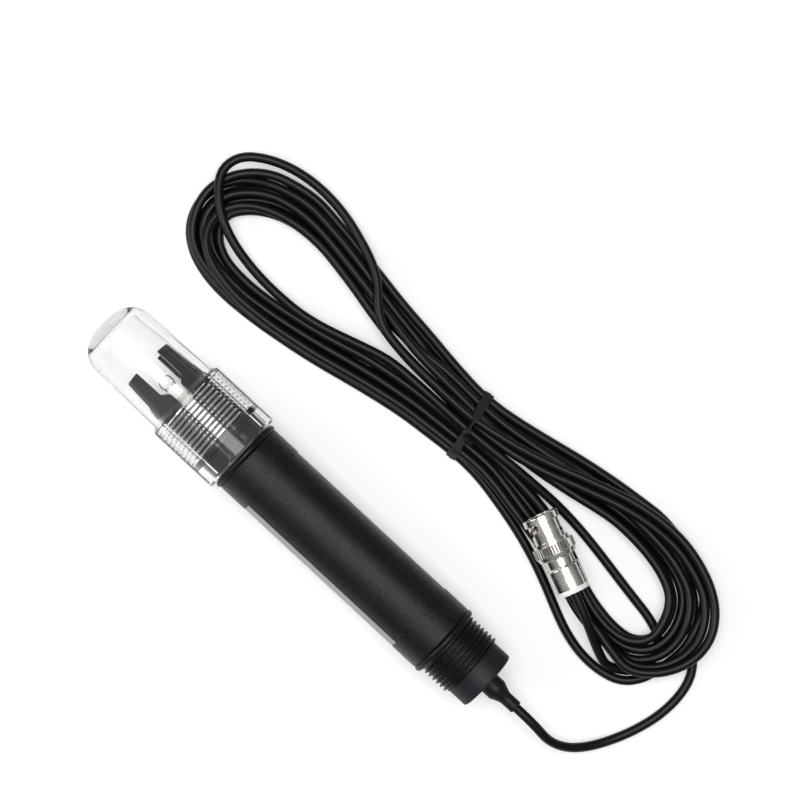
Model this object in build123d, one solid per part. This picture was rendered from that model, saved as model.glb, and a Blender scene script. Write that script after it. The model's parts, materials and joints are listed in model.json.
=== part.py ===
from build123d import *
import os
from math import ceil, cos, pi, radians, tan

# Industrial pH electrode with a clear screw-on cap, its cable wound in a tied hank and a bayonet plug.
# Millimetres. +X runs along the electrode from the cap's tip to the cable, +Y points to the hank, +Z is up.
# The origin lies on the floor below the middle of the electrode.

# Clearances
seat_clearance = 0.05       # between pieces that are pushed or glued together
thread_clearance = 0.35     # radial, between crests and roots of the cap's thread
ring_clearance = 0.3        # between the cap's seal ring and the thread that it passes over
mouth_gap = 0.3             # between the cap's mouth and the housing's front O-ring
cut_over = 1.0              # how far a cutter reaches past what it cuts

# Pipe thread, the same at both ends, a step below the barrel
barrel_radius = 14.0
barrel_step = 0.95
thread_depth = 1.05
thread_pitch = 1.814
thread_crest_width = 0.25
flank_angle = 27.5
thread_bite = 0.1           # how far a ridge or cutter reaches past its own surface
thread_major_radius = barrel_radius - barrel_step
thread_minor_radius = thread_major_radius - thread_depth

# Housing, from the prong tips to the rear face
prong_inset = 0.1           # the prongs' roots below the thread's floor
prong_draft = 1.3
prong_wall = 2.2            # at the tips
prong_length = 21.8
prong_shoulder_length = 5.0
prong_count = 4
prong_slot_width = 10.0
prong_slot_length = 11.6
core_slot_width = 5.0
core_slot_gap = 0.5         # left between the window's end and the thread
slot_round = 1.25
slot_end_round = 2.25
slot_turn = 7.0             # degrees from straight up towards the hank
front_thread_length = 15.4
relief_length = 2.3
neck_length = 7.3
front_land_length = 11.4
recess_length = 71.8
recess_depth = 0.3
rear_land_length = 10.8
rear_thread_length = 12.5
chamber_step = 0.4          # ledge behind the porous core
rear_wall = 2.0             # round the wiring, under the rear thread
edge_round = 0.4
prong_root_radius = thread_minor_radius - prong_inset
prong_tip_radius = prong_root_radius - prong_draft
prong_bore_radius = prong_tip_radius - prong_wall
chamber_radius = prong_bore_radius - chamber_step
wiring_bore_radius = thread_minor_radius - rear_wall

# O-rings on the housing
front_ring_section = 2.2
front_ring_proud = 0.6
rear_ring_section = 2.5
rear_ring_proud = 0.4
front_ring_radius = barrel_radius + front_ring_proud
rear_ring_radius = barrel_radius + rear_ring_proud

# Rear plug and cable boot
rear_plug_radius = thread_minor_radius - 0.25
rear_plug_length = 7.7
rear_spigot_length = 8.0
boot_radius = 4.05
boot_length = 13.9
boot_shoulder_length = 4.6
boot_shoulder_round = 2.0
boot_taper_length = 3.8
boot_waist_round = 5.0
boot_tip_radius = 2.45
boot_socket_depth = 5.0

# Electrode core
bulb_radius = 2.8
bulb_wall = 0.3
stem_radius = 2.4
stem_wall = 0.5
bulb_recess = 6.4           # the bulb stands this far behind the prong tips
core_recess = 12.4          # the porous core's face behind the prong tips
core_length = 13.1
seal_thickness = 1.8        # of the stem's seal with its two gaps
seal_inset = 0.6
seal_length = 15.0
chamber_length = 81.0
chamber_plug_length = 6.0
wire_radius = 0.3
wire_lead = 6.0             # the wires reach this far past the chamber plug
reference_wire_offset = 5.2
reference_wire_inset = 14.0
core_bore_radius = stem_radius + seal_thickness

# Cap: a dome over the prongs and a skirt over the thread, with a ring groove near its mouth
cap_length = 68.0
cap_bore_gap = 0.4          # outside the thread's floor
cap_end_wall = 5.3
dome_wall = 1.9             # next to the skirt
dome_draft = 0.46
dome_tip_wall = 3.94
cap_crown = 2.2             # the tip's flat stands this far before the dome's edge
cap_crown_width = 9.24      # from the flat out to the dome's edge
cap_flat_round = 3.0
cap_dome_round = 9.5
cap_cavity_round = 1.8
skirt_length = 29.5
skirt_wall = 1.2            # outside the ring groove
skirt_chamfer = 2.0
mouth_chamfer = 0.7
rib_count = 12
rib_radius = 0.8
rib_height = 0.3
rib_turn = 19.5
seal_ring_section = 1.65
seal_ring_length = 1.9
cap_bore_radius = thread_minor_radius + cap_bore_gap
cap_root_radius = cap_bore_radius + dome_wall
cap_tip_radius = cap_root_radius - dome_draft
cap_flat_radius = cap_tip_radius - cap_crown_width
cap_cavity_radius = cap_tip_radius - dome_tip_wall
ring_groove_radius = thread_major_radius + ring_clearance + seal_ring_section + 2 * seat_clearance
skirt_radius = ring_groove_radius + skirt_wall

# Label strip
label_thickness = 0.14
label_margin = 0.3
label_start = 57.5          # degrees from straight up, away from the hank
label_wrap = 120.0

# Cable, hank and tie
cable_radius = 1.725
hank_height = 7.0
lead_straight = 9.0
tail_straight = 6.0
tie_radius = 1.0
tie_place = (20.4, 62.7)
tie_turn = 11.0
tie_span = 23.5
tie_height = 9.6
tie_corner = 3.0
tie_ear_length = 5.0
tie_ear_place = 5.9         # from the middle of the loop's top
tie_ear_lean = 25.0

# Bayonet plug, measured from its front rim
plug_front = (59.9, 55.9)
plug_turn = -22.5
plug_clearance = 0.3
rim_radius = 6.65
rim_length = 2.6
nut_radius = 5.7
nut_bore_radius = 4.9
collar_start = 9.7
collar_length = 1.4
knurl_radius = 7.4
knurl_length = 3.5
nut_end_radius = 6.8
nut_end_round = 0.5
nut_length = 16.4
nut_cavity_radius = 6.0
nut_cavity_start = 11.0
lip_length = 1.5
lip_radius = 4.6
slot_width = 2.2
slot_entry_depth = 1.0
slot_cutter = 3.0           # height of the cutters that go through the nut's wall
bayonet_place = 35.0        # degrees from straight up
bayonet_turn = 80.0
bayonet_rise = 3.4
lock_hole_radius = 1.3
contact_start = 1.0
contact_radius = 4.05
contact_wall = 0.5
contact_slit = 0.5
contact_slit_length = 6.0
contact_slit_turn = 45.0
base_start = 9.6
base_radius = 4.55
flange_start = 11.3
flange_length = 1.3
flange_radius = 5.7
stem_end = 23.0
body_stem_radius = 4.4
gasket_length = 0.8
nut_float = 0.5
washer_thickness = 0.5
spring_thickness = 0.2
sleeve_start = 16.6
neck_radius = 5.3
sleeve_step = 19.6
sleeve_step_length = 0.8
sleeve_radius = 6.25
sleeve_end = 28.3
bushing_radius = 5.95
bushing_length = 1.9
bushing_spigot_length = 3.3
insulator_start = 5.0
insulator_length = 15.0
pin_radius = 0.68
pin_nose_round = 0.4
pin_start = 2.2
pin_length = 16.0

# Stations along the electrode, each from the one before
overall_length = (cap_length + mouth_gap + front_ring_section + front_land_length + recess_length
                  + rear_land_length + rear_ring_section + rear_thread_length
                  + rear_plug_length + boot_length)
cap_tip = -overall_length / 2
cap_mouth = cap_tip + cap_length
front_ring_start = cap_mouth + mouth_gap
neck_start = front_ring_start - neck_length
relief_start = neck_start - relief_length
front_thread_start = relief_start - front_thread_length
prong_tip = front_thread_start - prong_length
front_land_start = front_ring_start + front_ring_section
recess_start = front_land_start + front_land_length
rear_land_start = recess_start + recess_length
rear_ring_start = rear_land_start + rear_land_length
rear_thread_start = rear_ring_start + rear_ring_section
housing_end = rear_thread_start + rear_thread_length
rear_face = housing_end + rear_plug_length
boot_end = rear_face + boot_length
core_face = prong_tip + core_recess
core_end = core_face + core_length
bulb_centre = prong_tip + bulb_recess + bulb_radius
chamber_end = core_end + chamber_length
wiring_start = chamber_end + chamber_plug_length

# The electrode lies level, on the cap's lowest rib or on the skirt itself
rib_centre_radius = skirt_radius + rib_height - rib_radius
rib_turns = [rib_turn + 360 / rib_count * k for k in range(rib_count)]
lowest_rib = max(-rib_centre_radius * cos(radians(turn)) for turn in rib_turns) + rib_radius
axis_height = max(skirt_radius, lowest_rib)
on_axis = Pos(0, 0, axis_height)

# The plug lies on the hank
plug_height = hank_height + plug_clearance + knurl_radius
knurl_start = collar_start + collar_length
flange_end = flange_start + flange_length
washer_start = nut_length - lip_length - seat_clearance - washer_thickness
on_plug = Pos(*plug_front, plug_height) * Rot(0, 0, plug_turn)


# A turned shape from corners (station, radius) or (station, radius, rounding), about the X axis
def turned(*corners, arc=360):
    points = [corner[:2] for corner in corners]
    rounds = [corner[2] if len(corner) > 2 else 0 for corner in corners]
    outline = FilletPolyline(*points, radius=rounds, close=True)
    return revolve(make_face(outline), Axis.X, arc)


# A plain turned tube or rod
def tube(start, end, outer, inner=0.0):
    return turned((start, inner), (start, outer), (end, outer), (end, inner))


# A bar wound round the X axis with the thread's pitch. Its section's corners are (outwards, along).
# Each bar starts a whole number of pitches from the front thread's start, so that all are in phase.
def wound_bar(start, turns, radius, *section):
    helix = Helix(thread_pitch, turns * thread_pitch, radius)
    section_plane = Plane(origin=helix @ 0, x_dir=(1, 0, 0), z_dir=helix % 0)
    bar = sweep(section_plane * make_face(Polyline(*section, close=True)), path=helix, is_frenet=True)
    return Pos(start, 0, 0) * Rot(0, 90, 0) * bar


# The ridge of an outer thread, cut square at both ends
def thread_ridge(start, length):
    height = thread_major_radius - thread_minor_radius
    crest_half = thread_crest_width / 2
    foot_half = crest_half + height * tan(radians(flank_angle))
    turns = ceil(length / thread_pitch) + 2
    ridge = wound_bar(
        start - thread_pitch, turns, thread_minor_radius, (-thread_bite, foot_half), (0, foot_half),
        (height, crest_half), (height, -crest_half), (0, -foot_half), (-thread_bite, -foot_half))
    bounds = tube(start, start + length, thread_major_radius + cut_over, thread_minor_radius - cut_over)
    return ridge & bounds


# The groove of the cap's inner thread, as the tool that cuts it. It runs out into the ring groove.
def thread_groove(pitches_before, end):
    slope = tan(radians(flank_angle))
    depth = thread_major_radius + thread_clearance - cap_bore_radius
    mouth_half = (thread_pitch - thread_crest_width) / 2
    floor_half = mouth_half - depth * slope
    start = front_thread_start - pitches_before * thread_pitch
    turns = ceil((end - start) / thread_pitch)
    return wound_bar(
        start, turns, cap_bore_radius, (-thread_bite, mouth_half + thread_bite * slope),
        (depth, floor_half), (depth, -floor_half), (-thread_bite, -mouth_half - thread_bite * slope))


def make_housing():
    recess_radius = barrel_radius - recess_depth
    front_groove = front_ring_radius - front_ring_section - seat_clearance
    rear_groove = rear_ring_radius - rear_ring_section + seat_clearance
    body = turned(
        (prong_tip, prong_bore_radius, edge_round), (prong_tip, prong_tip_radius, edge_round * 2),
        (front_thread_start - prong_shoulder_length, prong_root_radius),
        (front_thread_start, thread_minor_radius), (neck_start, thread_minor_radius),
        (neck_start, thread_major_radius), (front_ring_start, thread_major_radius),
        (front_ring_start, front_groove), (front_land_start, front_groove),
        (front_land_start, barrel_radius, edge_round), (recess_start, barrel_radius),
        (recess_start, recess_radius), (rear_land_start, recess_radius),
        (rear_land_start, barrel_radius), (rear_ring_start, barrel_radius, edge_round),
        (rear_ring_start, rear_groove), (rear_thread_start, rear_groove),
        (rear_thread_start, thread_minor_radius), (housing_end, thread_minor_radius),
        (housing_end, wiring_bore_radius), (chamber_end, wiring_bore_radius),
        (chamber_end, chamber_radius), (core_end, chamber_radius), (core_end, prong_bore_radius))
    for slot in prong_slots():
        body -= slot
    runout = thread_pitch / 4
    body += thread_ridge(front_thread_start, front_thread_length)
    body += thread_ridge(rear_thread_start + runout, rear_thread_length - 2 * runout)
    return body


# Openings between the prongs: wide at the tips, then a narrow window onto the porous core
def prong_slots():
    wide_end = prong_tip + prong_slot_length
    window_end = front_thread_start - core_slot_gap
    wide = prong_slot_width / 2
    narrow = core_slot_width / 2
    half = [(prong_tip - cut_over, wide, 0), (wide_end, wide, slot_round),
            (wide_end + narrow, narrow, slot_round), (window_end, narrow, slot_end_round)]
    corners = half + [(x, -y, r) for x, y, r in reversed(half)]
    outline = FilletPolyline(*[corner[:2] for corner in corners],
                             radius=[corner[2] for corner in corners], close=True)
    depth = barrel_radius - prong_bore_radius / 2
    cutter = Pos(0, 0, prong_bore_radius / 2) * extrude(make_face(outline), depth)
    return [Rot(-slot_turn + 360 / prong_count * k, 0, 0) * cutter for k in range(prong_count)]


def o_ring(start, outer_radius, section):
    centre = outer_radius - section / 2
    ring = Torus(centre, section / 2 - seat_clearance)
    return Pos(start + section / 2, 0, 0) * Rot(0, 90, 0) * ring


def make_rear_plug():
    spigot_radius = wiring_bore_radius - seat_clearance
    spigot_start = housing_end - rear_spigot_length
    socket_start = rear_face - boot_socket_depth
    bore = cable_radius + seat_clearance
    return turned(
        (spigot_start, bore), (spigot_start, spigot_radius, edge_round), (housing_end, spigot_radius),
        (housing_end, rear_plug_radius), (rear_face, rear_plug_radius, edge_round * 2),
        (rear_face, boot_radius + seat_clearance), (socket_start, boot_radius + seat_clearance),
        (socket_start, bore))


def make_boot():
    socket_start = rear_face - boot_socket_depth
    bore = cable_radius + seat_clearance
    shoulder = rear_face + boot_shoulder_length
    waist = shoulder + boot_taper_length
    return turned(
        (socket_start, bore), (socket_start, boot_radius), (shoulder, boot_radius, boot_shoulder_round),
        (waist, boot_tip_radius, boot_waist_round), (boot_end, boot_tip_radius, edge_round),
        (boot_end, bore))


def make_glass():
    stem_start = bulb_centre
    stem_end_station = chamber_end + chamber_plug_length / 2
    outside = Pos(bulb_centre, 0, 0) * Sphere(bulb_radius) + tube(stem_start, stem_end_station, stem_radius)
    hollow = (Pos(bulb_centre, 0, 0) * Sphere(bulb_radius - bulb_wall)
              + tube(stem_start, stem_end_station, stem_radius - stem_wall))
    return outside - hollow


def make_core():
    return tube(core_face, core_end, prong_bore_radius - seat_clearance, core_bore_radius)


def make_stem_seal():
    start = core_face + seal_inset
    return tube(start, start + seal_length, core_bore_radius - seat_clearance, stem_radius + seat_clearance)


def make_chamber_plug():
    hole = wire_radius + seat_clearance
    disc = tube(chamber_end, wiring_start, wiring_bore_radius - seat_clearance, hole)
    stem_socket = tube(chamber_end, chamber_end + chamber_plug_length / 2, stem_radius + seat_clearance)
    wire_hole = Pos(0, reference_wire_offset, 0) * tube(chamber_end, wiring_start, hole)
    return disc - stem_socket - wire_hole


def make_inner_wire():
    return tube(bulb_centre, wiring_start + wire_lead, wire_radius)


def make_reference_wire():
    return Pos(0, reference_wire_offset, 0) * tube(
        core_end + reference_wire_inset, wiring_start + wire_lead, wire_radius)


def make_inner_cable():
    return tube(wiring_start + wire_lead, boot_end, cable_radius)


def make_cap():
    dome_end = cap_mouth - skirt_length
    groove_start = relief_start
    groove_end = neck_start
    mouth_radius = thread_major_radius + thread_clearance + seat_clearance
    shell = turned(
        (cap_tip, 0), (cap_tip, cap_flat_radius, cap_flat_round),
        (cap_tip + cap_crown, cap_tip_radius, cap_dome_round),
        (dome_end, cap_root_radius), (dome_end + skirt_chamfer, skirt_radius, edge_round),
        (cap_mouth - mouth_chamfer, skirt_radius), (cap_mouth, skirt_radius - mouth_chamfer),
        (cap_mouth, mouth_radius + mouth_chamfer), (cap_mouth - mouth_chamfer, mouth_radius),
        (groove_end, mouth_radius), (groove_end, ring_groove_radius), (groove_start, ring_groove_radius),
        (groove_start, cap_bore_radius), (dome_end, cap_bore_radius),
        (cap_tip + cap_end_wall, cap_cavity_radius, cap_cavity_round), (cap_tip + cap_end_wall, 0))
    shell -= thread_groove(1, groove_start)
    rib_start = dome_end + skirt_chamfer
    rib_length = cap_mouth - 2 * mouth_chamfer - rib_start
    rib = Pos(rib_start, 0, rib_centre_radius) * Rot(0, 90, 0) * Cylinder(
        rib_radius, rib_length, align=(Align.CENTER, Align.CENTER, Align.MIN))
    for turn in rib_turns:
        shell += Rot(-turn, 0, 0) * rib
    return shell


def make_seal_ring():
    inner = thread_major_radius + ring_clearance
    start = relief_start + (relief_length - seal_ring_length) / 2
    outer = inner + seal_ring_section
    return turned((start, inner), (start, outer, edge_round), (start + seal_ring_length, outer, edge_round),
                  (start + seal_ring_length, inner))


def make_label():
    inner = barrel_radius - recess_depth + seat_clearance
    start = recess_start + label_margin
    end = rear_land_start - label_margin
    strip = turned((start, inner), (start, inner + label_thickness), (end, inner + label_thickness),
                   (end, inner), arc=label_wrap)
    return Rot(90 + label_start, 0, 0) * strip


# Cable stretches that aren't coiled: straight runs joined by arcs as large as the runs allow
lead_route = [
    (117.4, -1.2, 12.7), (124.6, 1.2, 8.2), (130.4, 6.4, 4.6), (135.2, 13.6, 2.3), (139.3, 22.4, 1.8),
    (142.3, 32.6, 1.75), (142.9, 43.8, 1.8), (140.0, 53.2, 1.85), (134.4, 60.6, 1.85)]
tail_route = [(100.5, 38.6, 12.8), (107.3, 35.4, 8.8), (113.6, 32.9, 5.0)]


# The largest arc at each corner. It takes just under half of the shorter run beside it.
arc_share = 0.45


def largest_rounds(befores, corners, afters):
    rounds = []
    for before, corner, after in zip(befores, corners, afters):
        run_in = corner - before
        run_out = after - corner
        shorter = min(run_in.length, run_out.length)
        rounds.append(arc_share * shorter / tan(radians(run_in.get_angle(run_out)) / 2))
    return rounds


def cable_tube(name, route):
    points = [Vector(*point) for point in route]
    radii = largest_rounds(points, points[1:], points[2:])
    path = FilletPolyline(*points, radius=radii)
    start_plane = Plane(origin=path @ 0, z_dir=path % 0)
    solid = sweep(start_plane * Circle(cable_radius), path=path)
    expected = pi * cable_radius ** 2 * path.length
    print(name, "length", round(path.length, 1), "radii", [round(r, 1) for r in radii],
          "volume over section times length", round(solid.volume / expected, 4))
    return solid


def make_lead():
    straight_end = (boot_end + lead_straight, 0, axis_height)
    return cable_tube("cable_lead", [(boot_end, 0, axis_height), straight_end, *lead_route])


def make_tail():
    start = on_plug * Pos(stem_end + seat_clearance, 0, 0)
    straight_end = on_plug * Pos(sleeve_end + bushing_length + tail_straight, 0, 0)
    return cable_tube("cable_tail", [tuple(start.position), tuple(straight_end.position), *tail_route])


# The hank's outer shape: a long figure with two eyes, drawn in at the tie
hank_outline = [
    (-110.6, 70.0), (-109.3, 57.0), (-105.8, 45.6), (-97.0, 38.6), (-82.7, 35.6), (-64.8, 36.0),
    (-42.4, 39.4), (-13.8, 45.8), (10.0, 50.9), (22.5, 52.2), (45.0, 48.6), (67.4, 43.0), (85.3, 35.0),
    (97.0, 30.2),
    (109.0, 27.9), (121.0, 29.6), (130.0, 34.8), (136.4, 44.6), (138.6, 56.0), (137.3, 66.5), (130.6, 77.8),
    (119.6, 84.2), (107.0, 87.4), (91.0, 87.0), (74.1, 84.8), (56.0, 81.0), (37.7, 76.4), (19.5, 73.4),
    (2.0, 75.6), (-22.0, 78.8), (-40.0, 81.4), (-56.0, 87.4), (-71.0, 90.1), (-88.0, 89.2), (-100.0, 84.8),
    (-107.6, 78.4)]
hank_eyes = [
    [(-94.4, 57.4), (-86.5, 64.8), (-72.8, 69.6), (-54.0, 70.2), (-36.0, 67.0), (-17.0, 62.2),
     (-37.0, 56.8), (-61.0, 53.2), (-80.0, 54.4)],
    [(58.0, 65.4), (83.2, 71.6), (103.6, 70.2), (115.0, 65.4), (119.2, 57.6), (117.4, 52.4), (100.0, 56.3),
     (80.0, 60.6)],
    [(75.0, 58.8), (96.0, 54.5), (117.8, 49.6), (113.2, 45.4), (100.0, 45.0), (86.5, 51.0)]]


# A closed outline whose corners are as round as its sides allow
def soft_outline(corners):
    points = [Vector(*corner) for corner in corners]
    befores = points[-1:] + points[:-1]
    afters = points[1:] + points[:1]
    return make_face(FilletPolyline(*points, radius=largest_rounds(befores, points, afters), close=True))


def make_hank():
    solid = extrude(soft_outline(hank_outline), hank_height, dir=(0, 0, 1))
    for eye in hank_eyes:
        solid -= extrude(soft_outline(eye), hank_height, dir=(0, 0, 1))
    return solid


# Twist tie: a closed loop round the waist, with its two ends standing off
def make_tie():
    half = tie_span / 2
    low = tie_radius
    high = tie_height
    path = FilletPolyline((0, -half, low), (0, half, low), (0, half, high), (0, -half, high),
                          radius=tie_corner, close=True)
    start_plane = Plane(origin=path @ 0, z_dir=path % 0)
    loop = sweep(start_plane * Circle(tie_radius), path=path)
    ear = Cylinder(tie_radius, tie_ear_length, align=(Align.CENTER, Align.CENTER, Align.MIN))
    for side in (-1, 1):
        loop += Pos(0, side * tie_ear_place, high) * Rot(-side * (90 + tie_ear_lean), 0, 0) * ear
    return Pos(*tie_place, 0) * Rot(0, 0, tie_turn) * loop


# Bayonet nut with its front rim, two curved slots, a collar, a knurled ring and an inner lip
def make_plug_nut():
    cavity_end = nut_length - lip_length
    nut = turned(
        (0, nut_bore_radius), (0, rim_radius, edge_round), (rim_length, rim_radius),
        (rim_length, nut_radius),
        (collar_start, nut_radius), (collar_start, rim_radius), (knurl_start, rim_radius),
        (knurl_start, knurl_radius, edge_round), (knurl_start + knurl_length, knurl_radius),
        (nut_length, nut_end_radius, nut_end_round), (nut_length, lip_radius), (cavity_end, lip_radius),
        (cavity_end, nut_cavity_radius), (nut_cavity_start, nut_cavity_radius),
        (nut_cavity_start, nut_bore_radius))
    for half_turn in (0, 180):
        for cutter in bayonet_slot():
            nut -= Rot(half_turn + bayonet_place, 0, 0) * cutter
    return nut


def bayonet_slot():
    middle = (nut_bore_radius + nut_radius) / 2
    entry_end = rim_length + slot_width / 2
    entry = Pos((entry_end - cut_over) / 2, 0, nut_bore_radius) * Box(
        entry_end + cut_over, slot_width, 2 * slot_entry_depth)
    mouth = Pos(entry_end, 0, middle) * Cylinder(slot_width / 2, slot_cutter)
    pitch = bayonet_rise / (bayonet_turn / 360)
    helix = Helix(pitch, bayonet_rise, middle)
    section_plane = Plane(origin=helix @ 0, x_dir=(1, 0, 0), z_dir=helix % 0)
    curve = sweep(section_plane * Rectangle(slot_cutter, slot_width), path=helix, is_frenet=True)
    curve = Pos(entry_end, 0, 0) * Rot(180, 0, 0) * Rot(0, 90, 0) * curve
    hole = Rot(bayonet_turn, 0, 0) * Pos(entry_end + bayonet_rise, 0, middle) * Cylinder(
        lock_hole_radius, slot_cutter)
    return [entry, mouth, curve, hole]


# Body inside the nut: slit contact sleeve, base, flange and the stem that carries the rear sleeve
def make_plug_body():
    inner = contact_radius - contact_wall
    body = turned(
        (contact_start, inner), (contact_start, contact_radius, contact_wall / 2),
        (base_start, contact_radius), (base_start, base_radius), (flange_start, base_radius),
        (flange_start, flange_radius), (flange_end, flange_radius), (flange_end, body_stem_radius),
        (stem_end, body_stem_radius), (stem_end, inner))
    slit = Pos(contact_start + (contact_slit_length - cut_over) / 2, 0, 0) * Box(
        contact_slit_length + cut_over, contact_slit, 2 * (contact_radius + cut_over))
    for quarter in (0, 90):
        body -= Rot(quarter + contact_slit_turn, 0, 0) * slit
    return body


def make_gasket():
    return tube(base_start - gasket_length, base_start, base_radius, contact_radius + seat_clearance)


def make_nut_washer():
    hole = body_stem_radius + 2 * seat_clearance
    return tube(washer_start, washer_start + washer_thickness, flange_radius, hole)


# Curved spring washer between the flange and the flat washer. Its bend leaves the nut room to float.
def make_spring_washer():
    start = flange_end + seat_clearance
    end = washer_start - nut_float - seat_clearance
    rise = end - start - spring_thickness
    bend_radius = (flange_radius ** 2 + rise ** 2) / (2 * rise)
    ring = tube(start, end, flange_radius, body_stem_radius + 2 * seat_clearance)
    width = 4 * flange_radius
    bend = Cylinder(bend_radius, width) - Cylinder(bend_radius - spring_thickness, width)
    return ring & (Pos(start + bend_radius, 0, 0) * Rot(90, 0, 0) * bend)


def make_plug_sleeve():
    bore = body_stem_radius + seat_clearance
    return turned(
        (sleeve_start, bore), (sleeve_start, neck_radius, edge_round / 2), (sleeve_step, neck_radius),
        (sleeve_step + sleeve_step_length, sleeve_radius, edge_round), (sleeve_end, sleeve_radius),
        (sleeve_end, bore))


def make_bushing():
    spigot_start = sleeve_end - bushing_spigot_length
    return turned(
        (spigot_start, cable_radius + seat_clearance), (spigot_start, body_stem_radius),
        (sleeve_end, body_stem_radius), (sleeve_end, bushing_radius),
        (sleeve_end + bushing_length, bushing_radius, edge_round),
        (sleeve_end + bushing_length, cable_radius + seat_clearance))


def make_insulator():
    outer = contact_radius - contact_wall - seat_clearance
    return tube(insulator_start, insulator_start + insulator_length, outer, pin_radius + seat_clearance)


def make_pin():
    return turned((pin_start, 0), (pin_start, pin_radius, pin_nose_round),
                  (pin_start + pin_length, pin_radius), (pin_start + pin_length, 0))


electrode = {
    "probe_housing": make_housing(),
    "rear_plug": make_rear_plug(),
    "front_o_ring": o_ring(front_ring_start, front_ring_radius, front_ring_section),
    "rear_o_ring": o_ring(rear_ring_start, rear_ring_radius, rear_ring_section),
    "cable_boot": make_boot(),
    "label_strip": make_label(),
    "glass_electrode": make_glass(),
    "inner_wire": make_inner_wire(),
    "reference_wire": make_reference_wire(),
    "junction_core": make_core(),
    "stem_seal": make_stem_seal(),
    "chamber_plug": make_chamber_plug(),
    "inner_cable": make_inner_cable(),
    "protective_cap": make_cap(),
    "cap_seal_ring": make_seal_ring(),
}
plug = {
    "plug_nut": make_plug_nut(),
    "plug_body": make_plug_body(),
    "plug_gasket": make_gasket(),
    "nut_washer": make_nut_washer(),
    "plug_spring_washer": make_spring_washer(),
    "plug_sleeve": make_plug_sleeve(),
    "plug_bushing": make_bushing(),
    "plug_insulator": make_insulator(),
    "plug_pin": make_pin(),
}
cable = {
    "cable_lead": make_lead(),
    "cable_hank": make_hank(),
    "cable_tail": make_tail(),
    "cable_tie": make_tie(),
}

os.makedirs("parts", exist_ok=True)
for name, solid in electrode.items():
    export_step(on_axis * solid, f"parts/{name}.step")
for name, solid in plug.items():
    export_step(on_plug * solid, f"parts/{name}.step")
for name, solid in cable.items():
    export_step(solid, f"parts/{name}.step")
print("axis height", round(axis_height, 3), "overall length", round(overall_length, 2))
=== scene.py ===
# pH electrode with a clear screw-on cap, its cable in a tied hank and a bayonet plug, lying on a white table
import json
import math
import bmesh
import bpy
import numpy as np
from mathutils import Matrix, Vector
from mathutils.geometry import convex_hull_2d

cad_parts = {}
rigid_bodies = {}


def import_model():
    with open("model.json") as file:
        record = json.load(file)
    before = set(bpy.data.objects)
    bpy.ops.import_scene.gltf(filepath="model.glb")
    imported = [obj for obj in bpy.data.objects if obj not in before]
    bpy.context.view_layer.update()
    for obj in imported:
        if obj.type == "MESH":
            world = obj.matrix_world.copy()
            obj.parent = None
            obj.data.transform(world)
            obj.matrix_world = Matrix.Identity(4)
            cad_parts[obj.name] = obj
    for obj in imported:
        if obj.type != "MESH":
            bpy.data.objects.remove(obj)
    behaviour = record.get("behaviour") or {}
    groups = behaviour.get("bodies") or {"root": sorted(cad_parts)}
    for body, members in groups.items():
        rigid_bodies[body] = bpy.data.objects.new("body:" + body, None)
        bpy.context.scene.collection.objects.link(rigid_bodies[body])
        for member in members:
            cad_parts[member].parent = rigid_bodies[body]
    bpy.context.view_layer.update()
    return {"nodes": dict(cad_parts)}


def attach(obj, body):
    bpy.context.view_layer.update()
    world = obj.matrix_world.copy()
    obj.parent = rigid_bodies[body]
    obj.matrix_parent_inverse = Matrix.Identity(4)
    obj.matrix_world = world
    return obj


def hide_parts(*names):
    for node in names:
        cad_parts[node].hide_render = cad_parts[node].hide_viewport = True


bpy.ops.object.select_all(action="SELECT")
bpy.ops.object.delete()
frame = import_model()
nodes = frame["nodes"]
mm = 0.001               # routes and sizes are written in millimetres


def deselectAll():
    if bpy.context.object and bpy.context.object.mode != "OBJECT":
        bpy.ops.object.mode_set(mode="OBJECT")
    bpy.ops.object.select_all(action="DESELECT")


def dress(obj, material):
    obj.data.materials.clear()
    obj.data.materials.append(material)


def newMaterial(name):
    material = bpy.data.materials.new(name)
    material.use_nodes = True
    tree = material.node_tree
    shader = tree.nodes["Principled BSDF"]
    return material, tree, shader


def setSockets(shader, **values):
    for socket, value in values.items():
        shader.inputs[socket.replace("_", " ")].default_value = value


def addNode(tree, kind, **settings):
    node = tree.nodes.new(kind)
    for key, value in settings.items():
        setattr(node, key, value)
    return node


def linkAll(tree, *pairs):
    for output, socket in pairs:
        tree.links.new(output, socket)


def objectCoordinates(tree):
    return addNode(tree, "ShaderNodeTexCoord").outputs["Object"]


def addNoise(tree, scale, detail):
    noise = addNode(tree, "ShaderNodeTexNoise")
    noise.inputs["Scale"].default_value = scale
    noise.inputs["Detail"].default_value = detail
    noise.inputs["Roughness"].default_value = 0.55
    tree.links.new(objectCoordinates(tree), noise.inputs["Vector"])
    return noise.outputs["Fac"]


# A value between start and end becomes one between low and high
def addRange(tree, value, low, high, start=0.3, end=0.7):
    mapRange = addNode(tree, "ShaderNodeMapRange")
    mapRange.inputs["From Min"].default_value = start
    mapRange.inputs["From Max"].default_value = end
    mapRange.inputs["To Min"].default_value = low
    mapRange.inputs["To Max"].default_value = high
    tree.links.new(value, mapRange.inputs["Value"])
    return mapRange.outputs["Result"]


def addBump(tree, shader, height, strength, distance):
    bump = addNode(tree, "ShaderNodeBump")
    bump.inputs["Strength"].default_value = strength
    bump.inputs["Distance"].default_value = distance
    linkAll(tree, (height, bump.inputs["Height"]), (bump.outputs["Normal"], shader.inputs["Normal"]))


view = {
    "nadir": (-4.5, 52.2),     # the camera looks straight down on this place
    "height": 917.0,
    "turn": 42.9,              # the electrode's direction below image right, in degrees
    "angle": 18.0,
    "clip": (0.01, 20),
}


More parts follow.
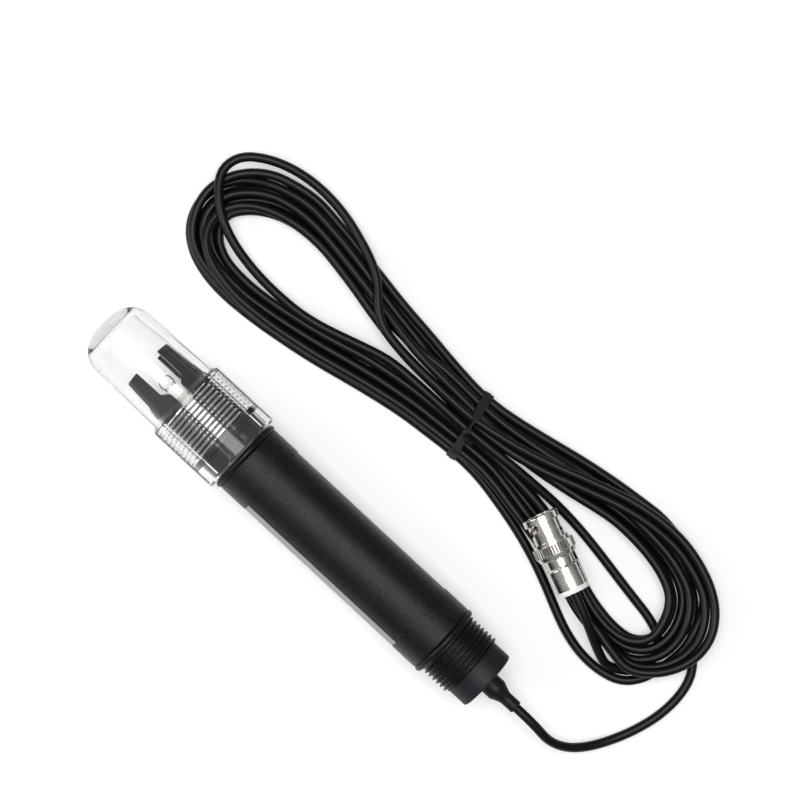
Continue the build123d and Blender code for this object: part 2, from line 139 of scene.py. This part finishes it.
def makeCamera():
    data = bpy.data.cameras.new("camera")
    camera = bpy.data.objects.new("camera", data)
    bpy.context.scene.collection.objects.link(camera)
    camera.location = Vector((*view["nadir"], view["height"])) * mm
    camera.rotation_euler = (0, 0, math.radians(view["turn"]))
    data.sensor_fit = "HORIZONTAL"
    data.angle = math.radians(view["angle"])
    data.clip_start, data.clip_end = view["clip"]
    bpy.context.scene.camera = camera


lamps = {
    # name: (place, aimed at, width, depth, watts)
    "overhead": ((0.0, 0.09, 1.25), (0.0, 0.05, 0.0), 0.95, 0.75, 10.5),
    "leftBox": ((-0.62, -0.62, 0.55), (0.0, 0.05, 0.0), 0.5, 0.5, 3.2),
}


def addLamp(name, place, aim, width, depth, watts):
    data = bpy.data.lights.new(name, "AREA")
    data.shape = "RECTANGLE"
    data.size = width
    data.size_y = depth
    data.energy = watts
    lamp = bpy.data.objects.new(name, data)
    bpy.context.scene.collection.objects.link(lamp)
    lamp.location = place
    direction = Vector(aim) - Vector(place)
    lamp.rotation_euler = direction.to_track_quat("-Z", "Y").to_euler()


room = {
    "low": 0.04,               # the room's brightness near the table's level
    "high": 0.36,              # and near overhead
    "heights": (0.1, 0.9),     # where these two begin, as the height of a direction
    "throughClear": 0.70,      # what shows through clear plastic beside the table
    "behind": 1.0,             # what the camera sees past the table
    "offTable": -10,           # keeps rays that left the table from counting as seen through the plastic
}


def addBackground(tree, strength):
    background = addNode(tree, "ShaderNodeBackground")
    background.inputs["Color"].default_value = (1, 1, 1, 1)
    background.inputs["Strength"].default_value = strength
    return background


def makeWorld():
    world = bpy.data.worlds.new("studio")
    bpy.context.scene.world = world
    world.use_nodes = True
    tree = world.node_tree
    tree.nodes.clear()
    path = addNode(tree, "ShaderNodeLightPath")
    direction = addNode(tree, "ShaderNodeTexCoord")
    split = addNode(tree, "ShaderNodeSeparateXYZ")
    around = addBackground(tree, room["high"])
    clear = addBackground(tree, room["throughClear"])
    white = addBackground(tree, room["behind"])
    throughClear = addNode(tree, "ShaderNodeMath", operation="MULTIPLY_ADD")
    throughClear.inputs[1].default_value = room["offTable"]
    passed = addNode(tree, "ShaderNodeMath", operation="GREATER_THAN")
    passed.inputs[1].default_value = 0.5
    clearMix = addNode(tree, "ShaderNodeMixShader")
    whiteMix = addNode(tree, "ShaderNodeMixShader")
    output = addNode(tree, "ShaderNodeOutputWorld")
    tree.links.new(direction.outputs["Generated"], split.inputs[0])
    height = addRange(tree, split.outputs["Z"], room["low"], room["high"], *room["heights"])
    linkAll(
        tree,
        (height, around.inputs["Strength"]),
        (path.outputs["Diffuse Depth"], throughClear.inputs[0]),
        (path.outputs["Transmission Depth"], throughClear.inputs[2]),
        (throughClear.outputs[0], passed.inputs[0]),
        (passed.outputs[0], clearMix.inputs["Fac"]),
        (around.outputs[0], clearMix.inputs[1]),
        (clear.outputs[0], clearMix.inputs[2]),
        (path.outputs["Is Camera Ray"], whiteMix.inputs["Fac"]),
        (clearMix.outputs[0], whiteMix.inputs[1]),
        (white.outputs[0], whiteMix.inputs[2]),
        (whiteMix.outputs[0], output.inputs["Surface"]))


tableTop = {
    "size": 3.0,
    "color": (0.80, 0.80, 0.80, 1),
    "roughness": 0.9,
    "lift": 0.33,              # added brightness, as the camera sees it and through the clear plastic
    "liftInGloss": 0.3,        # the share of it that shows in glossy pieces
}


def makeTable():
    bpy.ops.mesh.primitive_plane_add(size=tableTop["size"], location=(0, 0, 0))
    table = bpy.context.object
    table.name = "table"
    material, tree, shader = newMaterial("tableWhite")
    setSockets(shader, Base_Color=tableTop["color"], Roughness=tableTop["roughness"], Specular_IOR_Level=0.0)
    path = addNode(tree, "ShaderNodeLightPath")
    seen = addNode(tree, "ShaderNodeMath", operation="MULTIPLY_ADD")
    seen.inputs[1].default_value = tableTop["liftInGloss"]
    seenThrough = addNode(tree, "ShaderNodeMath", operation="MAXIMUM")
    lift = addNode(tree, "ShaderNodeMath", operation="MULTIPLY")
    lift.inputs[1].default_value = tableTop["lift"]
    glow = addNode(tree, "ShaderNodeEmission")
    add = addNode(tree, "ShaderNodeAddShader")
    linkAll(
        tree,
        (path.outputs["Is Glossy Ray"], seen.inputs[0]),
        (path.outputs["Is Camera Ray"], seen.inputs[2]),
        (seen.outputs[0], seenThrough.inputs[0]),
        (path.outputs["Is Transmission Ray"], seenThrough.inputs[1]),
        (seenThrough.outputs[0], lift.inputs[0]),
        (lift.outputs[0], glow.inputs["Strength"]),
        (shader.outputs[0], add.inputs[0]),
        (glow.outputs[0], add.inputs[1]),
        (add.outputs[0], tree.nodes["Material Output"].inputs["Surface"]))
    dress(table, material)


makeCamera()
makeWorld()
makeTable()
for lampName, place in lamps.items():
    addLamp(lampName, *place)
bpy.context.scene.view_settings.view_transform = "Standard"
print("stage: camera, table and lamps")


cable = {
    "radius": 1.725,
    "turns": 8,
    "spacing": 9.0,            # between the points of the turns
    "firstHeight": 5.175,      # of the first turn, before the turns settle
    "lift": 1.25,              # each turn starts this much above the one before
    "looseTurn": 2,            # the turn that leaves the bundle
    "looseStations": slice(27, 35),
    "topStations": slice(12, 26),  # where the last turn lies on top
    "innerFrom": 27,           # where the last turn goes over into the inner strand
    "settleSteps": 260,
    "fallSteps": 221,          # the steps in which the turns sink
    "fall": 0.05,              # in a step
    "hold": 0.035,             # how firmly a point is kept over its first place
    "smooth": 0.25,            # how far a point follows its neighbours' shift in a step
    "push": 0.12,              # share of an overlap that is cleared in a step
    "parts": (0.0, 0.33, 0.67),    # places along each run that are held clear of the others
    "searchEvery": 10,         # steps between two searches for near runs
    "searchReach": 14.0,
    "ownRuns": 3,              # a run's neighbours along the cable, which are left out
    "samples": 4,              # of the finished curve, between two points and round a quarter
}

# from the boot to the hank
leadRoute = [
    (100.55, 0, 16.335), (109.55, 0, 16.335), (117.4, -1.2, 12.7), (124.6, 1.2, 8.2), (130.4, 6.4, 4.6),
    (135.2, 13.6, 2.3), (139.3, 22.4, 1.8), (142.3, 32.6, 1.75), (142.9, 43.8, 1.8), (140.0, 53.2, 1.85)]
# from the plug's rear back to the hank
tailRoute = [
    (81.24, 47.06, 14.7), (93.37, 42.04, 14.7), (100.5, 38.6, 12.8), (107.3, 35.4, 8.8), (113.6, 32.9, 5.0)]

# places round the hank, against the clock from its right end: inner edge, outer edge
stations = [
    ((117.4, 61.5), (137.6, 65.0)), ((113.5, 66.6), (130.5, 77.5)), ((104, 70.2), (112, 86.0)),
    ((92, 71.5), (94, 87.2)), ((79, 71.2), (78, 85.2)), ((66, 68.0), (62, 82.2)),
    ((52, 64.5), (47, 79.0)), ((36, 63.0), (33, 76.0)), ((20.4, 62.7), (18.2, 73.8)),
    ((3, 63.0), (2, 75.6)), ((-14, 62.8), (-12, 77.6)), ((-30, 65.6), (-28, 79.1)),
    ((-45, 68.6), (-46, 81.5)), ((-60, 70.6), (-62, 84.0)), ((-74, 69.6), (-77, 85.8)),
    ((-85, 65.5), (-92, 82.5)), ((-91.5, 60.8), (-103, 74.5)), ((-94.7, 56.5), (-108.6, 64)),
    ((-93.5, 53.6), (-108.8, 54)), ((-90, 50.3), (-103.7, 43.0)), ((-83, 47.5), (-93, 37.5)),
    ((-72, 46.9), (-76, 35.5)), ((-58, 48.9), (-58, 37.3)), ((-42, 53.0), (-37, 40.8)),
    ((-24, 58.5), (-18, 45.2)), ((-4, 61.5), (-1, 49.0)), ((20.4, 62.7), (22.5, 51.7)),
    ((38, 63.0), (36, 52.5)), ((55, 62.5), (52, 48.5)), ((70, 60.0), (66, 46.0)),
    ((82, 54.1), (80, 43.0)), ((92, 47.8), (91, 39.0)), ((102, 44.9), (101, 38.2)),
    ((111, 44.7), (111, 35.8)), ((117.5, 48.0), (123, 34.0)), ((118.6, 50.5), (134, 43.5)),
    ((118.8, 54.0), (138.6, 55.0))]

# the turns' order across the bundle at some of those places, from the inside out, one row a place
orders = {
    0: (4, 2, 1, 5, 3, 0, 6, 7), 3: (4, 2, 1, 7, 3, 0, 5, 6), 5: (6, 2, 1, 7, 5, 0, 3, 4),
    8: (6, 4, 3, 7, 5, 2, 0, 1), 12: (6, 3, 5, 7, 2, 4, 1, 0), 17: (5, 3, 6, 7, 1, 4, 2, 0),
    22: (4, 2, 7, 5, 1, 3, 6, 0), 26: (3, 2, 7, 4, 1, 5, 6, 0), 32: (3, 2, 7, 4, 1, 5, 6, 0),
}

# stretches that leave the bundle
topLoop = [
    (-40.9, 80.2), (-50.5, 83.6), (-60.4, 86.8), (-69.0, 88.4), (-78.0, 88.8), (-87.0, 87.8), (-95.5, 85.1),
    (-102.5, 81.2), (-107.6, 76.2), (-109.0, 70.8), (-106.5, 65.4), (-102.0, 60.6), (-96.5, 56.4),
    (-89.5, 53.2), (-80.6, 51.0), (-70.8, 49.8), (-61.5, 49.5), (-53.0, 49.7), (-45.5, 50.8), (-36.4, 53.6),
    (-26.0, 57.2), (-15.8, 60.2)]
looseTurn = [
    (34.0, 52.6), (45.0, 50.1), (56.5, 47.4), (67.4, 44.2), (77.5, 40.2), (86.5, 35.9), (95.5, 32.0),
    (104.0, 29.8), (112.5, 29.6), (120.6, 31.2), (127.0, 35.2)]
innerStrand = [
    (34.0, 62.3, 13.0), (50.4, 62.9, 9.5), (61.0, 63.2, 6.0), (71.5, 62.7, 3.0), (82.5, 61.4, 1.8),
    (93.6, 59.4, 1.8), (104.0, 57.6, 1.8), (111.0, 56.4, 1.8), (116.3, 55.7, 1.8), (121.2, 54.6, 1.8),
    (125.1, 51.6, 1.8), (127.4, 47.2, 1.8), (127.6, 42.2, 1.8), (125.7, 37.6, 1.8), (122.1, 34.2, 2.2),
    (117.3, 32.7, 3.4)]


# A strand's middle at a station: outward 0 lies along the inner edge, 1 along the outer edge
def stationPoint(number, outward):
    inner, outer = (Vector(corner) for corner in stations[number])
    across = outer - inner
    inset = cable["radius"] / across.length
    return inner + across * (inset + (1 - 2 * inset) * outward)


# How far out a turn lies at a station; at its end it runs over into the next turn
def turnSpread(turn, number):
    places = list(orders) + [len(stations)]
    nextTurn = min(turn + 1, cable["turns"] - 1)
    values = [order[turn] for order in orders.values()] + [orders[0][nextTurn]]
    return float(np.interp(number, places, values)) / (cable["turns"] - 1)


def turnPoints(turn):
    points = [stationPoint(number, turnSpread(turn, number)) for number in range(len(stations))]
    if turn == cable["looseTurn"]:
        points[cable["looseStations"]] = [Vector(point) for point in looseTurn]
    if turn == cable["turns"] - 1:
        points[cable["innerFrom"]:] = []
        points[cable["topStations"]] = [Vector(point) for point in topLoop]
    height = cable["firstHeight"] + cable["lift"] * turn
    return [(point.x, point.y, height) for point in points]


def evenlySpaced(points, spacing):
    points = np.array(points, float)
    steps = np.linalg.norm(np.diff(points, axis=0), axis=1)
    along = np.concatenate([[0], np.cumsum(steps)])
    count = int(round(along[-1] / spacing)) + 1
    places = np.linspace(0, along[-1], count)
    return np.stack([np.interp(places, along, points[:, axis]) for axis in range(3)], axis=1)


# Places along the cable's runs, and the runs near each, leaving out its own neighbours
def nearRuns(points):
    middles = (points[:-1] + points[1:]) / 2
    near = []
    for part in cable["parts"]:
        places = points[:-1] * (1 - part) + points[1:] * part
        distance = np.linalg.norm(places[:, None] - middles[None], axis=2)
        first, second = np.nonzero(distance < cable["searchReach"])
        keep = np.abs(first - second) > cable["ownRuns"]
        near.append(np.stack([first[keep], second[keep], np.full(keep.sum(), part)]))
    first, second, part = np.concatenate(near, axis=1)
    return first.astype(int), second.astype(int), part


# The turns sink onto the table and each other, pushed a diameter apart, and stay about where they were laid
def settleCable(points, fixedStart, fixedEnd):
    radius, diameter = cable["radius"], cable["radius"] * 2
    first = points.copy()
    free = np.ones(len(points))
    free[:fixedStart] = 0
    free[len(points) - fixedEnd:] = 0
    for step in range(cable["settleSteps"]):
        if step % cable["searchEvery"] == 0:
            run, other, part = nearRuns(points)
        place = points[run] * (1 - part)[:, None] + points[run + 1] * part[:, None]
        a, b = points[other], points[other + 1]
        along = b - a
        share = np.clip(((place - a) * along).sum(1) / (along ** 2).sum(1), 0, 1)
        offset = place - (a + along * share[:, None])
        distance = np.linalg.norm(offset, axis=1) + 1e-6
        hit = distance < diameter
        overlap = (diameter - distance[hit])[:, None]
        push = offset[hit] / distance[hit, None] * overlap * cable["push"]
        move = np.zeros_like(points)
        np.add.at(move, run[hit], push * (1 - part[hit])[:, None])
        np.add.at(move, run[hit] + 1, push * part[hit][:, None])
        np.add.at(move, other[hit], -push * (1 - share[hit])[:, None])
        np.add.at(move, other[hit] + 1, -push * share[hit][:, None])
        pull = (first - points) * cable["hold"]
        pull[:, 2] = -cable["fall"] if step < cable["fallSteps"] else 0
        points = points + (move + pull) * free[:, None]
        shift = points - first
        middle = (shift[:-2] + shift[2:]) / 2
        points[1:-1] += (middle - shift[1:-1]) * cable["smooth"] * free[1:-1, None]
        points[:, 2] = np.maximum(points[:, 2], np.where(free > 0, radius, points[:, 2]))
    return points


def makeCable():
    laid = []
    for turn in range(cable["turns"]):
        laid += turnPoints(turn)
    laid += innerStrand
    laid = evenlySpaced(laid, cable["spacing"])
    points = np.concatenate([np.array(leadRoute), laid, np.array(tailRoute[::-1])])
    points = settleCable(points, len(leadRoute) - 1, len(tailRoute))
    curve = bpy.data.curves.new("sensorCable", "CURVE")
    curve.dimensions = "3D"
    spline = curve.splines.new("NURBS")
    spline.points.add(len(points) - 1)
    for number, point in enumerate(points):
        spline.points[number].co = (*(point * mm), 1)
        spline.points[number].radius = cable["radius"] * mm
    spline.order_u = 3
    spline.use_endpoint_u = True
    spline.resolution_u = cable["samples"]
    curve.bevel_depth = 1.0    # the points carry the radius
    curve.bevel_resolution = cable["samples"]
    curve.use_fill_caps = True
    piece = bpy.data.objects.new("sensorCable", curve)
    bpy.context.scene.collection.objects.link(piece)
    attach(piece, "root")
    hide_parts("cable_lead", "cable_hank", "cable_tail")
    return piece, points


cablePiece, cablePoints = makeCable()
cableLength = np.linalg.norm(np.diff(cablePoints, axis=0), axis=1).sum() * mm
print("cable: points", len(cablePoints), "length", round(float(cableLength), 3))


knurl = {
    "front": (59.9, 55.9, 14.7),   # middle of the plug's front rim
    "turn": -22.5,                 # the plug's direction on the table, in degrees
    "start": 11.2,                 # from the front rim
    "length": 3.3,
    "radius": 7.43,
    "ridges": 44,
    "ridgeHeight": 0.32,
    "edge": 0.12,
    "crown": 0.9,                  # share of a ridge's height above which a face keeps the plain nickel; groove walls below it get painted shade
}


# A ring of fine ridges round the nut, two corners on each ridge and two in each groove
def makeKnurl():
    deselectAll()
    middle = knurl["start"] + knurl["length"] / 2
    bpy.ops.mesh.primitive_cylinder_add(
        vertices=knurl["ridges"] * 4, radius=knurl["radius"] * mm, depth=knurl["length"] * mm,
        end_fill_type="NGON", location=(0, 0, 0))
    ring = bpy.context.object
    ring.name = "nutKnurl"
    bpy.ops.object.mode_set(mode="EDIT")
    bpy.ops.mesh.select_all(action="DESELECT")
    mesh = bmesh.from_edit_mesh(ring.data)
    step = math.pi / knurl["ridges"] / 2
    for vertex in mesh.verts:
        place = round(math.atan2(vertex.co.y, vertex.co.x) / step)
        vertex.select = place % 4 in (0, 1)
    mesh.select_flush(True)
    bmesh.update_edit_mesh(ring.data)
    grow = 1 + knurl["ridgeHeight"] / knurl["radius"]
    bpy.ops.transform.resize(value=(grow, grow, 1))
    mesh = bmesh.from_edit_mesh(ring.data)
    for face in mesh.faces:
        face.select = abs(face.normal.z) > 0.9
    bmesh.update_edit_mesh(ring.data)
    bpy.ops.mesh.inset(thickness=knurl["edge"] * mm, depth=knurl["edge"] * mm)
    bpy.ops.object.mode_set(mode="OBJECT")
    # groove walls below the crown are listed for a darker metal: painted shade in the grooves, with some
    # grime
    crown = (knurl["radius"] + knurl["ridgeHeight"] * knurl["crown"]) * mm
    grooves = {face.index for face in ring.data.polygons
               if abs(face.normal.z) < 0.5 and face.center.xy.length < crown}
    turn = math.radians(knurl["turn"])
    along = Vector((math.cos(turn), math.sin(turn), 0))
    ring.location = (Vector(knurl["front"]) + along * middle) * mm
    ring.rotation_euler = (0, math.pi / 2, turn)
    bpy.ops.object.transform_apply(location=True, rotation=True, scale=True)
    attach(ring, "nut")
    return ring, grooves


knurlPiece, knurlShadedGrooves = makeKnurl()
print("plug: knurled ring")

tie = {
    "place": (20.4, 62.7),     # middle of the waist
    "turns": (8.5, 14.5),      # each wrap's direction, in degrees from straight across
    "reach": 16.0,             # strands farther out than this aren't held
    "halfWidth": 1.0,
    "halfThickness": 0.3,
    "points": 90,
    "corner": 20,              # degrees between the points round a strand
    "thinPlace": 0.5,          # where the top of the ribbon stands on edge, from the waist's middle
    "thinReach": 3.5,
    "thinAbove": 0.6,          # only above this share of the ribbon's height
    "endStart": (-4.0, 0.2),   # the twisted end: across the hank, and above the ribbon
    "endStep": (-0.05, 0.10, 0.20),    # from point to point: across, up and along the hank
    "endPoints": 22,
    "endTwist": 0.9,           # radians from point to point
    "smoothBelow": 40,
}


# Where the strands cross the ribbon's plane: how far across, and how high
def heldStrands(points, across, along):
    offsets = points[:, :2] - np.array(tie["place"])
    ahead = offsets @ along
    cut = np.nonzero(ahead[:-1] * ahead[1:] < 0)[0]
    share = (ahead[cut] / (ahead[cut] - ahead[cut + 1]))[:, None]
    places = points[cut] * (1 - share) + points[cut + 1] * share
    side = (places[:, :2] - np.array(tie["place"])) @ across
    held = np.abs(side) < tie["reach"]
    return np.stack([side[held], places[held, 2]], axis=1)


# The tight loop round the held strands, evenly spaced
def wrapOutline(held):
    reach = cable["radius"] + tie["halfThickness"]
    circle = [(math.cos(math.radians(angle)) * reach, math.sin(math.radians(angle)) * reach)
              for angle in range(0, 360, tie["corner"])]
    rims = [(side + x, max(height + y, tie["halfThickness"])) for side, height in held for x, y in circle]
    loop = [rims[place] for place in convex_hull_2d(rims)]
    loop = np.array(loop + loop[:1])
    steps = np.concatenate([[0], np.cumsum(np.linalg.norm(np.diff(loop, axis=0), axis=1))])
    places = np.linspace(0, steps[-1], tie["points"], endpoint=False)
    return np.stack([np.interp(places, steps, loop[:, axis]) for axis in range(2)], axis=1)


def addRibbon(curve, places, tilts, cyclic):
    spline = curve.splines.new("POLY")
    spline.points.add(len(places) - 1)
    for point, place, tilt in zip(spline.points, places, tilts):
        point.co = (*(Vector(place) * mm), 1)
        point.tilt = tilt
    spline.use_cyclic_u = cyclic


def newRibbon(across, along):
    curve = bpy.data.curves.new("twistTie", "CURVE")
    curve.dimensions = "3D"
    curve.twist_mode = "Z_UP"
    curve.extrude = tie["halfWidth"] * mm
    curve.bevel_depth = tie["halfThickness"] * mm
    curve.bevel_resolution = 2
    ribbon = bpy.data.objects.new("twistTie", curve)
    bpy.context.scene.collection.objects.link(ribbon)
    ribbon.matrix_world = Matrix((across, Vector((0, 0, 1)), along)).transposed().to_4x4()
    ribbon.location = Vector((*tie["place"], 0)) * mm
    return ribbon


# How far the ribbon is turned on edge at a place: a quarter turn at most
def edgeTilt(side, height, top):
    if height <= top * tie["thinAbove"]:
        return 0.0
    return max(0.0, 1 - abs(side - tie["thinPlace"]) / tie["thinReach"]) * math.pi / 2


# A flat twist tie wrapped twice round the waist, its ends twisted together on top
def makeTie():
    wraps = []
    for turn in tie["turns"]:
        angle = math.radians(turn)
        across = Vector((-math.sin(angle), math.cos(angle), 0))
        along = Vector((math.cos(angle), math.sin(angle), 0))
        outline = wrapOutline(heldStrands(cablePoints, np.array(across.xy), np.array(along.xy)))
        top = outline[:, 1].max()
        wrap = newRibbon(across, along)
        tilts = [edgeTilt(side, height, top) for side, height in outline]
        addRibbon(wrap.data, [(side, height, 0) for side, height in outline], tilts, True)
        wraps.append(wrap)
        if turn == tie["turns"][0]:
            start = Vector((tie["endStart"][0], top + tie["endStart"][1], 0))
            steps = range(tie["endPoints"])
            end = [start + Vector(tie["endStep"]) * step for step in steps]
            addRibbon(wrap.data, end, [tie["endTwist"] * step for step in steps], False)
    deselectAll()
    for wrap in wraps:
        wrap.select_set(True)
    bpy.context.view_layer.objects.active = wraps[0]
    bpy.ops.object.convert(target="MESH")
    bpy.ops.object.join()
    bpy.ops.object.transform_apply(location=True, rotation=True, scale=True)
    made = bpy.context.object
    bpy.ops.object.shade_smooth_by_angle(angle=math.radians(tie["smoothBelow"]))
    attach(made, "root")
    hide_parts("cable_tie")
    return made


tiePiece = makeTie()
print("tie: two wraps and a twisted end")


plastics = {
    # name: (color, roughness, specular, grain's fineness, strength and depth)
    "barrelBlack": ((0.006, 0.006, 0.0065), 0.28, 0.3, 1700, 1.0, 0.00026),
    "endBlack": ((0.010, 0.012, 0.015), 0.5, 0.3, 1800, 0.4, 0.0002),
    "ringBlack": ((0.004, 0.004, 0.005), 0.35, 0.3, 900, 0.1, 0.0002),
    "bootBlack": ((0.005, 0.005, 0.006), 0.5, 0.3, 1500, 0.2, 0.0002),
    "jacketBlack": ((0.004, 0.004, 0.0045), 0.36, 0.25, 700, 0.12, 0.0002),
    "tieBlack": ((0.012, 0.012, 0.011), 0.6, 0.3, 900, 0.4, 0.0002),
    "labelGrey": ((0.42, 0.43, 0.44), 0.42, 0.3, 1200, 0.1, 0.0002),
    "porousPale": ((0.70, 0.69, 0.65), 0.8, 0.3, 2200, 0.6, 0.0002),
    "whitePlastic": ((0.96, 0.96, 0.95), 0.3, 0.3, 600, 0.05, 0.0002),
    "gasketRed": ((0.32, 0.08, 0.05), 0.5, 0.3, 900, 0.2, 0.0002),
}
metals = {
    # name: (color, roughness)
    "nickel": ((0.86, 0.83, 0.77), 0.20),
    # a darker copy of the nickel for the knurl's groove walls: painted shade, with some grime
    "paintedGrooveShade": ((0.22, 0.21, 0.20), 0.35),
    "springSteel": ((0.62, 0.62, 0.62), 0.25),
    "silverWire": ((0.80, 0.80, 0.78), 0.3),
    "goldPin": ((0.85, 0.62, 0.25), 0.2),
}
barrelPatches = {
    "scale": 60,
    "detail": 5.0,
    "roughness": (0.21, 0.33),
}
metalSmear = {
    "scale": 220,
    "detail": 4.0,
    "roughness": (0.7, 1.5),   # shares of the metal's own
}
clearPlastic = {
    "color": (0.99, 0.99, 0.985, 1),
    "roughness": 0.02,
    "bending": 1.36,
    "depthColor": (0.0, 0.01, 0.02, 1),    # what thick walls let through
    "density": 18,
    "shadow": (0.90, 0.91, 0.92, 1),
}


def makePlastic(name, color, roughness, specular, grain, strength, depth):
    material, tree, shader = newMaterial(name)
    setSockets(shader, Base_Color=(*color, 1), Roughness=roughness, Specular_IOR_Level=specular)
    addBump(tree, shader, addNoise(tree, grain, 3.0), strength, depth)
    return material


# The barrel is a little glossier in some patches
def addPatches(material):
    tree = material.node_tree
    patches = addNoise(tree, barrelPatches["scale"], barrelPatches["detail"])
    roughness = addRange(tree, patches, *barrelPatches["roughness"])
    tree.links.new(roughness, tree.nodes["Principled BSDF"].inputs["Roughness"])


def makeMetal(name, color, roughness):
    material, tree, shader = newMaterial(name)
    setSockets(shader, Base_Color=(*color, 1), Metallic=1.0, Roughness=roughness)
    smear = addNoise(tree, metalSmear["scale"], metalSmear["detail"])
    low, high = (roughness * share for share in metalSmear["roughness"])
    tree.links.new(addRange(tree, smear, low, high), shader.inputs["Roughness"])
    return material


# Clear plastic that darkens with its thickness and casts only a faint shadow
def makeClear():
    material, tree, shader = newMaterial("clearCap")
    setSockets(shader, Base_Color=clearPlastic["color"], Roughness=clearPlastic["roughness"],
               IOR=clearPlastic["bending"], Transmission_Weight=1.0)
    inside = addNode(tree, "ShaderNodeVolumeAbsorption")
    inside.inputs["Color"].default_value = clearPlastic["depthColor"]
    inside.inputs["Density"].default_value = clearPlastic["density"]
    path = addNode(tree, "ShaderNodeLightPath")
    shadow = addNode(tree, "ShaderNodeBsdfTransparent")
    shadow.inputs["Color"].default_value = clearPlastic["shadow"]
    mix = addNode(tree, "ShaderNodeMixShader")
    output = tree.nodes["Material Output"]
    linkAll(
        tree,
        (path.outputs["Is Shadow Ray"], mix.inputs["Fac"]),
        (shader.outputs[0], mix.inputs[1]),
        (shadow.outputs[0], mix.inputs[2]),
        (mix.outputs[0], output.inputs["Surface"]),
        (inside.outputs[0], output.inputs["Volume"]))
    return material


materials = {name: makePlastic(name, *look) for name, look in plastics.items()}
materials.update({name: makeMetal(name, *look) for name, look in metals.items()})
materials["clearCap"] = makeClear()
addPatches(materials["barrelBlack"])

dressing = {
    "barrelBlack": ["probe_housing"],
    "endBlack": ["rear_plug"],
    "ringBlack": ["front_o_ring", "rear_o_ring", "stem_seal", "cap_seal_ring"],
    "bootBlack": ["cable_boot"],
    "jacketBlack": ["inner_cable"],
    "labelGrey": ["label_strip"],
    "porousPale": ["junction_core", "chamber_plug"],
    "whitePlastic": ["plug_bushing", "plug_insulator"],
    "gasketRed": ["plug_gasket"],
    "clearCap": ["protective_cap", "glass_electrode"],
    "nickel": ["plug_nut", "plug_body", "plug_sleeve"],
    "springSteel": ["nut_washer", "plug_spring_washer"],
    "silverWire": ["inner_wire", "reference_wire"],
    "goldPin": ["plug_pin"],
}
for materialName, names in dressing.items():
    for name in names:
        dress(nodes[name], materials[materialName])
dress(cablePiece, materials["jacketBlack"])
dress(tiePiece, materials["tieBlack"])
dress(knurlPiece, materials["nickel"])
# the groove walls get the darker metal, painted shade in the knurl's grooves
knurlPiece.data.materials.append(materials["paintedGrooveShade"])
for face in knurlPiece.data.polygons:
    face.material_index = int(face.index in knurlShadedGrooves)
print("materials: done")

bpy.context.view_layer.update()
